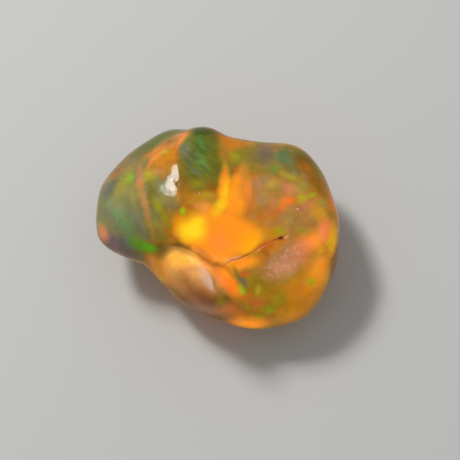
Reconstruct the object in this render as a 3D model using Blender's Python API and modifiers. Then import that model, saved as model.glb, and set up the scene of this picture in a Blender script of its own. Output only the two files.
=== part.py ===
"""A tumbled fire opal, 14 mm long, resting on a small flat underneath.

The stone is one closed body. Each lobe is the taut skin round a few balls, which is what tumbling
leaves of an angular chip: nearly flat sides with round corners. The lobes are fused and softened,
then a crack, the crease beside the dome and the flat underside are cut.
Lengths in the tables are millimetres: +X runs along the stone, +Y to its back, +Z up.
"""

import bmesh
import bpy
from mathutils import Matrix, Vector

MM = 0.001

# Cell of the fused skin, and how many times each stage is relaxed
SKIN_CELL = 0.36
BODY_RELAX = 12
WHOLE_RELAX = 6

# Corners closer than this are joined after the cuts
WELD_GAP = 0.012

# Crack along the front lip and across the right face
CRACK_HALF_WIDTH = 0.14
CRACK_DEPTH = 0.28

# Crease between the left wing and the dome
CREASE_HALF_WIDTH = 0.16
CREASE_DEPTH = 0.18

# Everything below this height is cut away to leave the flat
REST_HEIGHT = 0.0
REST_TOOL_SIZE = (12.0, 12.0, 4.0)

# Balls of each broad lobe: x, y, z, radius
BODY_LOBES = {
    # highest along the crease, falling to the blunt left tip
    "left_wing": (
        (-5.90, -0.60, 3.90, 1.30),
        (-5.05, 1.45, 3.40, 2.05),
        (-3.95, 3.00, 2.90, 2.10),
        (-2.35, 4.20, 3.10, 2.00),
        (-4.70, -0.95, 3.30, 1.40),
        (-2.35, 1.80, 4.95, 1.60),
        (-2.50, 0.90, 4.35, 2.20),
        (-3.20, -0.40, 4.10, 1.50),
    ),
    # broad and barely domed, tipped to the right rim and the front
    "right_face": (
        (2.00, 3.15, 4.10, 1.60),
        (4.00, 3.20, 3.80, 1.70),
        (4.80, 2.20, 3.70, 1.65),
        (5.20, -0.35, 3.80, 1.95),
        (5.00, -2.30, 3.20, 1.90),
        (4.00, -3.75, 2.60, 2.00),
        (2.40, -4.30, 2.40, 1.90),
        (1.20, -4.05, 2.40, 1.85),
        (3.20, 1.00, 3.45, 2.40),
        (0.10, 1.95, 4.50, 1.40),
        (0.90, -1.10, 3.95, 1.60),
        (3.00, -1.70, 3.40, 2.40),
        (1.40, -2.80, 3.90, 1.50),
    ),
    # low ground between the dome and the back corner
    "back_saddle": (
        (0.90, 3.50, 4.20, 1.60),
        (0.20, 1.80, 4.30, 1.60),
        (2.20, 3.20, 3.90, 1.60),
        (1.60, 1.60, 3.80, 1.70),
    ),
    # floor of the hollow, running down to the front lip
    "core": (
        (-3.40, -0.90, 2.80, 1.50),
        (-2.20, -1.55, 2.50, 1.70),
        (-0.60, -1.50, 3.40, 1.60),
        (-3.00, 1.50, 3.00, 1.80),
        (-0.40, 0.25, 3.90, 1.60),
        (0.00, 3.10, 3.30, 1.80),
        (2.00, -2.70, 3.20, 1.80),
    ),
    # underside, drawn in to the small flat
    "foot": (
        (-2.40, 0.30, 1.10, 1.20),
        (-0.80, -2.40, 1.10, 1.20),
        (2.40, -2.10, 1.10, 1.20),
        (2.80, 0.80, 1.10, 1.20),
        (0.20, 1.90, 1.10, 1.20),
        (-3.60, 0.60, 2.90, 1.70),
        (-1.60, 3.00, 2.70, 1.90),
        (-1.20, -3.00, 2.80, 1.40),
        (3.60, -2.10, 3.00, 1.90),
        (3.60, 1.60, 2.90, 1.90),
    ),
}

# Lobes that stand proud and keep a crisper edge
RAISED_LOBES = {
    "dome": (
        (-1.95, 3.30, 5.60, 0.50),
        (-2.25, 2.15, 6.05, 0.45),
        (-2.30, 1.05, 6.15, 0.45),
        (-2.20, 0.35, 5.95, 0.40),
        (-0.90, 3.95, 4.25, 1.75),
        (-0.75, 2.50, 4.45, 1.75),
        (-0.60, 1.65, 4.20, 1.60),
        (-0.90, 3.45, 3.50, 1.90),
    ),
    "front_lip": (
        (-2.80, -1.70, 2.90, 1.50),
        (-1.70, -2.70, 3.70, 1.20),
        (-0.85, -3.25, 4.60, 0.85),
        (-0.05, -4.80, 4.75, 0.85),
        (0.80, -4.15, 3.40, 1.50),
        (-1.30, -3.10, 2.80, 1.75),
        (0.20, -3.70, 2.50, 1.80),
    ),
}

# Points on the surface along each groove: x, y, z, share of the full width and depth
CRACK_PATH = (
    (-3.27, -1.89, 4.59, 0.4),
    (-2.59, -1.83, 4.73, 1.0),
    (-1.96, -1.84, 4.83, 1.2),
    (-1.35, -2.30, 4.98, 1.3),
    (-0.88, -2.75, 5.19, 1.3),
    (-0.47, -3.04, 5.24, 1.2),
    (-0.10, -3.14, 5.13, 1.0),
    (0.29, -3.16, 5.02, 0.9),
    (0.80, -3.02, 5.13, 0.8),
    (1.36, -2.86, 5.33, 0.7),
    (1.78, -2.70, 5.45, 0.7),
    (2.19, -2.49, 5.53, 0.7),
    (2.75, -2.17, 5.64, 0.7),
    (3.43, -1.89, 5.68, 1.0),
    (3.88, -1.78, 5.64, 0.3),
)
CREASE_PATH = (
    (-1.78, 4.69, 5.49, 0.3),
    (-2.00, 3.98, 5.78, 0.8),
    (-2.16, 3.36, 6.02, 1.0),
    (-2.34, 2.54, 6.29, 1.1),
    (-2.30, 1.84, 6.48, 1.1),
    (-2.26, 1.09, 6.50, 1.2),
    (-2.26, 0.42, 6.33, 1.1),
    (-2.06, -0.08, 6.09, 0.9),
    (-1.90, -0.35, 5.87, 0.4),
)


def clear_scene():
    """Start from nothing."""
    for old in list(bpy.data.objects):
        bpy.data.objects.remove(old)


def new_collection(name):
    """A collection linked to the scene."""
    collection = bpy.data.collections.new(name)
    bpy.context.scene.collection.children.link(collection)
    return collection


def add_lobe(shape, balls):
    """Add the taut skin round the balls to the mesh being built."""
    lobe = bmesh.new()
    for x, y, z, radius in balls:
        place = Matrix.Translation(Vector((x, y, z)) * MM)
        bmesh.ops.create_icosphere(lobe, subdivisions=3, radius=radius * MM, matrix=place)
    bmesh.ops.delete(lobe, geom=lobe.edges[:], context="EDGES_FACES")
    bmesh.ops.convex_hull(lobe, input=lobe.verts[:], use_existing_faces=False)
    inside = [vert for vert in lobe.verts if not vert.link_faces]
    bmesh.ops.delete(lobe, geom=inside, context="VERTS")
    bmesh.ops.recalc_face_normals(lobe, faces=lobe.faces[:])
    carrier = bpy.data.meshes.new("lobe")
    lobe.to_mesh(carrier)
    lobe.free()
    shape.from_mesh(carrier)
    bpy.data.meshes.remove(carrier)


def mesh_of(shape, name):
    """Store a finished bmesh under a name and free it."""
    mesh = bpy.data.meshes.new(name)
    shape.to_mesh(mesh)
    shape.free()
    return mesh


def groove_blade(name, path, half_width, depth):
    """A V-shaped blade swept along the path: its edge lies below the surface and its back above it."""
    section = bpy.data.curves.new(name + "_section", "CURVE")
    outline = section.splines.new("POLY")
    outline.points.add(2)
    corners = ((0.0, -depth), (half_width, depth * 0.8), (-half_width, depth * 0.8))
    for point, (across, up) in zip(outline.points, corners):
        point.co = (across * MM, up * MM, 0.0, 1.0)
    outline.use_cyclic_u = True
    section_holder = bpy.data.objects.new(name + "_section", section)

    sweep = bpy.data.curves.new(name + "_sweep", "CURVE")
    sweep.dimensions = "3D"
    sweep.twist_mode = "Z_UP"
    line = sweep.splines.new("POLY")
    line.points.add(len(path) - 1)
    for point, (x, y, z, share) in zip(line.points, path):
        point.co = (x * MM, y * MM, z * MM, 1.0)
        point.radius = share
    sweep.bevel_mode = "OBJECT"
    sweep.bevel_object = section_holder
    sweep.use_fill_caps = True
    sweep_holder = bpy.data.objects.new(name + "_sweep", sweep)

    bpy.context.scene.collection.objects.link(section_holder)
    bpy.context.scene.collection.objects.link(sweep_holder)
    depsgraph = bpy.context.evaluated_depsgraph_get()
    swept = bpy.data.meshes.new_from_object(sweep_holder.evaluated_get(depsgraph))
    bpy.data.objects.remove(sweep_holder)
    bpy.data.objects.remove(section_holder)

    blade = bmesh.new()
    blade.from_mesh(swept)
    bpy.data.meshes.remove(swept)
    bmesh.ops.remove_doubles(blade, verts=blade.verts[:], dist=0.001 * MM)
    bmesh.ops.recalc_face_normals(blade, faces=blade.faces[:])
    return mesh_of(blade, name)


def rest_block():
    """The block below the stone whose top face leaves the flat."""
    block = bmesh.new()
    bmesh.ops.create_cube(block, size=1.0)
    bmesh.ops.scale(block, vec=Vector(REST_TOOL_SIZE) * MM, verts=block.verts[:])
    sink = REST_HEIGHT - REST_TOOL_SIZE[2] / 2
    bmesh.ops.translate(block, vec=Vector((0.0, 0.0, sink)) * MM, verts=block.verts[:])
    return mesh_of(block, "rest_block")


def fuse(stone, stage, passes):
    """Rebuild the skin in even cells and relax it."""
    remesh = stone.modifiers.new(stage + "_fuse", "REMESH")
    remesh.mode = "VOXEL"
    remesh.voxel_size = SKIN_CELL * MM
    relax = stone.modifiers.new(stage + "_relax", "SMOOTH")
    relax.factor = 0.5
    relax.iterations = passes


def combine(stone, tools, name, mesh, operation):
    """Join a shape to the stone or cut it away."""
    tool = bpy.data.objects.new(name, mesh)
    tool.hide_render = True
    tool.display_type = "WIRE"
    tools.objects.link(tool)
    step = stone.modifiers.new(name, "BOOLEAN")
    step.operation = operation
    step.solver = "EXACT"
    step.object = tool


def opal_material():
    """Orange body colour under a wet polish."""
    material = bpy.data.materials.new("opal")
    material.use_nodes = True
    shader = material.node_tree.nodes["Principled BSDF"]
    shader.inputs["Base Color"].default_value = (0.80, 0.40, 0.10, 1.0)
    shader.inputs["Roughness"].default_value = 0.1
    shader.inputs["Metallic"].default_value = 0.0
    shader.inputs["IOR"].default_value = 1.45
    return material


def build_stone():
    """The whole stone."""
    parts = new_collection("fire_opal")
    tools = new_collection("shaping")
    shape = bmesh.new()
    for balls in BODY_LOBES.values():
        add_lobe(shape, balls)
    stone = bpy.data.objects.new("fire_opal", mesh_of(shape, "fire_opal"))
    parts.objects.link(stone)
    stone.data.materials.append(opal_material())

    fuse(stone, "body", BODY_RELAX)
    for name, balls in RAISED_LOBES.items():
        lobe = bmesh.new()
        add_lobe(lobe, balls)
        combine(stone, tools, name, mesh_of(lobe, name), "UNION")
    fuse(stone, "whole", WHOLE_RELAX)

    crack = groove_blade("crack", CRACK_PATH, CRACK_HALF_WIDTH, CRACK_DEPTH)
    combine(stone, tools, "crack", crack, "DIFFERENCE")
    crease = groove_blade("crease", CREASE_PATH, CREASE_HALF_WIDTH, CREASE_DEPTH)
    combine(stone, tools, "crease", crease, "DIFFERENCE")
    combine(stone, tools, "rest_block", rest_block(), "DIFFERENCE")
    weld = stone.modifiers.new("weld", "WELD")
    weld.merge_threshold = WELD_GAP * MM


clear_scene()
build_stone()
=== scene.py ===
# %% [markdown]
# # A tumbled fire opal
#
# The stone is one piece of orange opal, about 14 mm long. Tumbling has rounded an angular chip
# into soft lobes and given it a wet polish. Light spreads inside it, and where its tiny spheres
# are stacked in order they send back patches of green, yellow and rose.
#
# The imported model already has the lobes. This lesson lays a fine skin over them, carves the fold,
# the crevice and the crack into that skin, and then builds the colour out of soft patches and
# fibres that sit inside the stone. The worn spot is made in the material.

# %% Load the imported model
from math import copysign, cos, exp, hypot, pi, radians, sin

import bmesh
import bpy
from mathutils import Matrix, Vector, noise
from mathutils.bvhtree import BVHTree


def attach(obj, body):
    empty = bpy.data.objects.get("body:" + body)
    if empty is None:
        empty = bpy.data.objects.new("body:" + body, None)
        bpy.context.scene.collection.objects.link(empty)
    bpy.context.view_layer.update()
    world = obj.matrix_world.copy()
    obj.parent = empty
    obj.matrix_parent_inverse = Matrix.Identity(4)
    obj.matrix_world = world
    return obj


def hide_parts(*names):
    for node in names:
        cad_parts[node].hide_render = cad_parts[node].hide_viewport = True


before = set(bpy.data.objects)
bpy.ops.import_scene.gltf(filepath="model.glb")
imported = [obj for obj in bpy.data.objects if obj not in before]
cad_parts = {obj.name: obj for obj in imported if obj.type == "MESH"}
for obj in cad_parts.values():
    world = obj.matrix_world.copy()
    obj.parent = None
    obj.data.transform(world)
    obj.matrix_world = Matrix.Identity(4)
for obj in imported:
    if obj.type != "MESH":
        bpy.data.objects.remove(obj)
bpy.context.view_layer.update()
MM = 0.001

# %% [markdown]
# ## The camera, and a drawing plane for the details
#
# The stone was looked at steeply from the front. Everything drawn on the stone, such as the
# crack or a patch of green, is placed in that view, in millimetres across (u) and up (v). The
# third number, w, is how near a point is to the eye. Drawing on the view and then dropping each
# point onto the stone is easier to read than writing down places in space.

# %% Camera
ELEVATION = radians(67)
PIXELS_PER_MM = 17.5
IMAGE_SIDE = 460
PLANE_CENTRE = Vector((0.0, -0.45, 4.0))
AIM = (0.686, -0.114)
AIM_DROP = 0.2
across = Vector((1.0, 0.0, 0.0))
upward = Vector((0.0, sin(ELEVATION), cos(ELEVATION)))
towards_eye = Vector((0.0, -cos(ELEVATION), sin(ELEVATION)))
eye = bpy.data.cameras.new("camera")
eye.lens = 150
eye.sensor_width = 36
eye.clip_start = 0.001
distance = IMAGE_SIDE / PIXELS_PER_MM * eye.lens / eye.sensor_width
aim = PLANE_CENTRE + across * AIM[0] + upward * AIM[1] - Vector((0.0, 0.0, AIM_DROP))
camera = bpy.data.objects.new("camera", eye)
camera.location = (aim + towards_eye * distance) * MM
camera.rotation_mode = "QUATERNION"
camera.rotation_quaternion = (-towards_eye).to_track_quat("-Z", "Y")
bpy.context.scene.collection.objects.link(camera)
bpy.context.scene.camera = camera
print("camera is", round(distance), "mm from the stone")


# %% The drawing plane
def in_view(point):
    """Where a point of the stone, in metres, falls in the view: u, v and w in mm."""
    away = point / MM - PLANE_CENTRE
    return away.dot(across), away.dot(upward), away.dot(towards_eye)


# %% [markdown]
# ## A fine skin
#
# The solid is made of facets about a third of a millimetre wide. They would show as flats in the
# polish. The skin could be modelled again from nothing, but then it might not fit the solid.
# A copy of the solid is rebuilt in much smaller cells instead, and relaxed until the facets are
# gone. Relaxing pulls a skin in by a hair, which keeps it inside the solid's box.

# %% Rebuild a copy of the solid in fine cells
FINE_CELL = 0.10
RELAX_PASSES = 60
MERGE_DISTANCE = 0.0005


def baked_copy(source, name, modifiers):
    """A new mesh with these modifiers already applied: (kind, {setting: value}) each."""
    holder = bpy.data.objects.new(name, source)
    bpy.context.scene.collection.objects.link(holder)
    for kind, settings in modifiers:
        modifier = holder.modifiers.new(kind, kind)
        for key, value in settings.items():
            setattr(modifier, key, value)
    graph = bpy.context.evaluated_depsgraph_get()
    made = bpy.data.meshes.new_from_object(holder.evaluated_get(graph))
    bpy.data.objects.remove(holder)
    made.name = name
    return made


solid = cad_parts["fire_opal"]
merged = bmesh.new()
merged.from_mesh(solid.data)
bmesh.ops.remove_doubles(merged, verts=merged.verts[:], dist=MERGE_DISTANCE * MM)
merged_mesh = bpy.data.meshes.new("merged_solid")
merged.to_mesh(merged_mesh)
merged.free()
skin_mesh = baked_copy(
    merged_mesh,
    "opal_skin",
    [
        ("REMESH", {"mode": "VOXEL", "voxel_size": FINE_CELL * MM}),
        ("SMOOTH", {"factor": 0.5, "iterations": RELAX_PASSES}),
    ],
)
print("skin faces:", len(skin_mesh.polygons))

# %% [markdown]
# ## Lines to carve
#
# Three lines break the polish. A fold runs down between the left wing and the dome. A crevice
# follows the top of the front lip, and a hair-fine crack runs on from it across the right face.
# Each line is a row of points on the drawing plane, with its share of the full depth.

# %% The three lines, in mm on the drawing plane: u, v, share
FOLD = (
    (-1.79, 5.33, 0.1),
    (-2.04, 4.84, 0.4),
    (-2.19, 4.44, 0.7),
    (-2.32, 3.84, 1.0),
    (-2.19, 3.18, 1.0),
    (-2.15, 2.72, 1.0),
    (-2.31, 2.50, 1.0),
    (-2.27, 1.87, 0.7),
    (-2.10, 1.29, 0.2),
    (-1.87, 0.89, 0.0),
)
CREVICE = (
    (-3.18, -1.20, 0.0),
    (-2.68, -1.12, 0.1),
    (-2.16, -1.10, 0.5),
    (-1.55, -1.26, 0.9),
    (-1.06, -1.53, 1.0),
    (-0.57, -1.82, 1.0),
    (-0.20, -2.06, 1.0),
    (0.17, -2.20, 0.9),
    (0.57, -2.15, 0.0),
)
CRACK = (
    (0.39, -2.07, 0.6),
    (0.84, -1.84, 0.8),
    (1.25, -1.76, 0.9),
    (1.66, -1.55, 0.9),
    (2.11, -1.35, 0.5),
    (2.47, -1.11, 0.4),
    (2.97, -0.86, 0.5),
    (3.37, -0.69, 1.1),
    (3.58, -0.61, 1.2),
    (3.76, -0.58, 0.0),
)


def nearest(line, u, v):
    """The gap from a point to a line, which side of it the point is on, and the share there."""
    best = (1e9, 1.0, 0.0)
    for (u0, v0, share0), (u1, v1, share1) in zip(line, line[1:]):
        du, dv = u1 - u0, v1 - v0
        run = ((u - u0) * du + (v - v0) * dv) / (du * du + dv * dv)
        run = min(max(run, 0.0), 1.0)
        off_u, off_v = u - u0 - du * run, v - v0 - dv * run
        gap = hypot(off_u, off_v)
        if gap < best[0]:
            side = copysign(1.0, du * off_v - dv * off_u)
            best = (gap, side, share0 + (share1 - share0) * run)
    return best


# %% [markdown]
# ## Finer cells where the carving goes
#
# A crack a tenth of a millimetre wide needs cells much smaller than itself, but the smooth lobes
# don't. Cutting every cell would make a heavy mesh. `subdivide_edges` halves only the cells near
# a line, twice, and a few passes of `smooth_vert` round off what the cuts left flat.

# %% Halve the cells near the lines
skin = bmesh.new()
skin.from_mesh(skin_mesh)
FACING = 0.15
HALVING_REACHES = (0.32, 0.20)


def near_lines(cell, reach):
    """Whether a cell faces the eye and lies this near to one of the lines."""
    if cell.normal.dot(towards_eye) < FACING:
        return False
    u, v, _ = in_view(cell.calc_center_median())
    return any(nearest(line, u, v)[0] < reach for line in (FOLD, CREVICE, CRACK))


for reach in HALVING_REACHES:
    chosen = {edge for cell in skin.faces if near_lines(cell, reach) for edge in cell.edges}
    bmesh.ops.subdivide_edges(skin, edges=list(chosen), cuts=1, use_grid_fill=True)
    fresh = list({vert for cell in skin.faces if near_lines(cell, reach) for vert in cell.verts})
    for _ in range(2):
        bmesh.ops.smooth_vert(
            skin, verts=fresh, factor=0.5, use_axis_x=True, use_axis_y=True, use_axis_z=True
        )
    skin.normal_update()
print("cells after halving:", len(skin.faces))

# %% [markdown]
# ## Carving
#
# On the real stone the fold, the crevice and the crack are old breaks that tumbling has rounded.
# They could be cut with booleans, but then each edge would be dead sharp. Here each cut moves the
# skin along its own normals. The fold is a ridge: on the dome's side the skin is pressed in a
# little, so the highlight on the wing ends at a clean edge. The crevice drops the hollow and lifts
# the lip in front of it. The crack is a plain V with a wandering width. Before the lines come a
# few broad swells.

# %% Broad swells: u, v, reach and height in mm
SWELLS = (
    # the wing stays level up to the top of the highlight
    (-2.60, 4.15, 1.35, 0.27),
    # a chip in the fold, halfway down the highlight
    (-2.28, 2.40, 0.16, -0.05),
    # the ground behind the hollow is full, and its front edge falls away
    (0.50, 3.30, 2.20, 0.20),
    (1.00, -1.00, 2.10, -0.24),
)


def fade(gap, reach):
    """One at the centre, falling smoothly to nothing at the reach."""
    rest = max(0.0, 1.0 - gap / reach)
    return rest * rest * (3.0 - 2.0 * rest)


# %% [markdown]
# ## Small swells under the two reflections
#
# On the real stone the lamp shows twice: as a bright triangle on the wing that ends at the fold,
# and as a soft grey streak on the lip. A reflection takes its outline from the slope of the
# polish, so it can be shaped with very shallow swells. They stand on a square net over the wing
# and over the lip, and each row below gives their heights in thousandths of a millimetre. These
# heights weren't chosen by hand. A separate fitting program, which isn't part of this file, worked
# them out so that the lamp's reflection fills an outline drawn round each highlight.

# %% Swells on a square net
NET_STEP = 0.4


def swell_net(first_u, first_v, reach, rows):
    """Swells from rows of heights, the nearest row first: u, v, reach and height in mm."""
    return [
        (round(first_u + NET_STEP * i, 2), round(first_v + NET_STEP * j, 2), reach, height / 1000)
        for j, row in enumerate(rows)
        for i, height in enumerate(row)
        if height
    ]


# %% Small swells on the wing, beside the fold
WING_SWELLS = swell_net(-4.30, 0.90, 1.00, (
    (-7, 4, -5, -8, 4, 44, 21),
    (-16, -24, 31, 10, 28, 40, 96),
    (-20, 35, -67, 21, -32, 78, 63),
    (-43, 24, -81, 47, -26, -46, 92),
    (-28, 44, -41, 36, -40, 10, 91),
    (-16, 0, -58, 0, -38, 27, 7),
    (-5, 0, 11, 11, 39, 5, 56),
    (-5, -15, -5, -17, -94, 8, 21),
    (0, 0, -7, 31, 11, 18, 31),
    (-9, 7, -19, -11, -7, -13, -30),
))
WING_LEFT_END = -5.3
WING_FRONT_END = FOLD[-1][1] - 1.0
print("swells on the wing:", len(WING_SWELLS))

# %% Small swells on the lip and behind it
LIP_SWELLS = swell_net(-3.20, -4.10, 0.90, (
    (0, 8, -12, 17, 32, -39, 74, 67, 52, 10, 26, 20),
    (-5, 0, -11, 18, -22, 70, 38, 15, 30, 16, -5, 12),
    (-13, 0, 0, 15, -36, 42, 8, 0, 30, 24, 0, 22),
    (-11, 0, -17, -9, 16, 9, 0, -28, 30, 0, 5, 0),
    (-21, -10, -7, -15, 0, -10, -44, 19, 30, -36, 32, -6),
    (-29, -5, -17, -46, -50, -42, -28, 0, -10, -24, 12, -21),
    (-24, -9, -37, 10, -6, 0, -26, -12, 18, 12, 5, -15),
    (-36, -14, -83, -25, -43, -39, 9, -49, 13, 0, -11, 0),
    (-23, 27, -53, 24, -40, -59, 67, -14, 0, -13, 6, 0),
    (-34, -13, -20, 14, -24, 0, -34, -34, 10, -8, 0, -9),
))
LIP_RIGHT_END = 2.0
LIP_BACK_END = 0.3
print("swells on the lip:", len(LIP_SWELLS))

# %% [markdown]
# ## Raising the swells
#
# The wing's swells have to stop at the fold, or they would move the highlight's clean edge. Cut
# off at once they would leave a little cliff there, which shows as a black line. So on the dome's
# side of the fold they run out over a short slope instead.

# %% Raise the swells
FOLD_SLOPE = 0.45
raised = []
for vert in skin.verts:
    if vert.normal.dot(towards_eye) < FACING:
        continue
    u, v, _ = in_view(vert.co)
    gap, side, _ = nearest(FOLD, u, v)
    keep = 1.0 if side < 0 else 1.0 - gap / FOLD_SLOPE
    swells = ()
    if WING_LEFT_END < u < FOLD[0][0] + FOLD_SLOPE and v > WING_FRONT_END and keep > 0.0:
        swells = WING_SWELLS
    elif u < LIP_RIGHT_END and v < LIP_BACK_END:
        swells, keep = LIP_SWELLS, 1.0
    if swells:
        parts = [height * fade(hypot(u - cu, v - cv), reach) for cu, cv, reach, height in swells]
        raised.append((vert, keep * sum(parts)))
for vert, rise in raised:
    vert.co += towards_eye * rise * MM
skin.normal_update()
moved = [rise for _, rise in raised]
print("small swells in mm:", round(min(moved), 3), "to", round(max(moved), 3))

# %% [markdown]
# ## The three cuts
#
# One function says for each point how far the skin moves and how near each groove is. The
# nearness is kept on the skin as attributes, so the material can paint shade into the grooves
# later and dull the banks of the crevice, where the tumbling never reached.

# %% Depths and widths of the cuts, in mm
FOLD_PRESS = 0.045
FOLD_TROUGH = 0.55
FOLD_STEP = 0.03
FOLD_STEP_START = 0.03
FOLD_STEP_REACH = 0.10
LIP_LIFT = 0.05
LIP_REACH = 0.45
HOLLOW_DROP = 0.26
HOLLOW_REACH = 0.95
CREVICE_CUT = 0.12
CREVICE_HALF_WIDTH = 0.10
CRACK_CUT = 0.07
CRACK_HALF_WIDTH = 0.055
BANK_REACH = 0.6
# how many times the crevice's share is taken, so the bank is full along most of it
BANK_GAIN = 4.0
# how much the crack's width changes, as a share of it, and how often to the metre
CRACK_WIDTH_CHANGE = 0.8
CRACK_WIDTH_NOISE = 2600.0
# how far the grooves waver sideways in mm, and how often to the metre
WAVER_NOISES = ((0.025, 5000.0), (0.012, 16000.0))


def v_cut(gap, half_width):
    """The profile of a V groove."""
    return max(0.0, 1.0 - gap / half_width)


def carve(u, v, place):
    """How far the skin moves along its normal here, in mm, and how near each groove is."""
    waver = sum(amount * noise.noise(place * per_metre) for amount, per_metre in WAVER_NOISES)
    rise = sum(height * fade(hypot(u - cu, v - cv), reach) for cu, cv, reach, height in SWELLS)

    gap, side, share = nearest(FOLD, u, v)
    if side > 0:
        rise -= FOLD_PRESS * share * gap / FOLD_TROUGH * exp(1.0 - gap / FOLD_TROUGH)
        rise -= FOLD_STEP * share * fade(gap, FOLD_STEP_REACH) * min(1.0, gap / FOLD_STEP_START)

    gap, side, share = nearest(CREVICE, u, v)
    if side > 0:
        rise -= HOLLOW_DROP * share * fade(gap, HOLLOW_REACH)
    else:
        rise += LIP_LIFT * share * fade(gap, LIP_REACH)
    crevice = v_cut(abs(gap * side + waver), CREVICE_HALF_WIDTH) * share
    rise -= CREVICE_CUT * crevice
    bank = min(1.0, BANK_GAIN * share) * fade(gap, BANK_REACH)

    gap, side, share = nearest(CRACK, u, v)
    change = CRACK_WIDTH_CHANGE * noise.noise(place * CRACK_WIDTH_NOISE)
    crack = v_cut(abs(gap * side + waver), CRACK_HALF_WIDTH * (1.0 + change)) * share
    rise -= CRACK_CUT * crack
    return rise, crevice, crack, bank


# %% Carve the fold, the crevice and the crack
groove_mark = skin.verts.layers.float.new("groove")
crack_mark = skin.verts.layers.float.new("crack")
bank_mark = skin.verts.layers.float.new("bank")
moves = []
for vert in skin.verts:
    if vert.normal.dot(towards_eye) < FACING:
        continue
    u, v, _ = in_view(vert.co)
    rise, crevice, crack, bank = carve(u, v, vert.co)
    vert[groove_mark] = max(crevice, crack)
    vert[crack_mark] = crack
    vert[bank_mark] = bank
    moves.append((vert, vert.normal * rise * MM))
for vert, move in moves:
    vert.co += move
skin.normal_update()
print("deepest cut in mm:", round(max(move.length for _, move in moves) / MM, 3))

# %% [markdown]
# ## One piece of the model
#
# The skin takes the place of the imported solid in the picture, and moves with the same body. The
# solid itself stays as it is, hidden under its skin.

# %% Store the skin
skin.to_mesh(skin_mesh)
skin.free()
for face in skin_mesh.polygons:
    face.use_smooth = True
opal_skin = bpy.data.objects.new("opal_skin", skin_mesh)
bpy.context.scene.collection.objects.link(opal_skin)
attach(opal_skin, "root")
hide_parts("fire_opal")
print("skin faces after carving:", len(skin_mesh.polygons))

# %% [markdown]
# ## The colours of the stone
#
# An opal's colours are pure and close together: a green beside an orange, a lime fleck on brown.
# They could be sliders in the editor, but a list is easier to tune. Each colour has a name and is
# written as it should look under the lamps, in screen values from 0 to 255. The values were set by
# hand, by eye and from readings of the photograph and the render at 68 chosen places. The helper
# turns them into the amount of light the stone sends back. `LIT` is how strong the lamps are.

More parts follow.
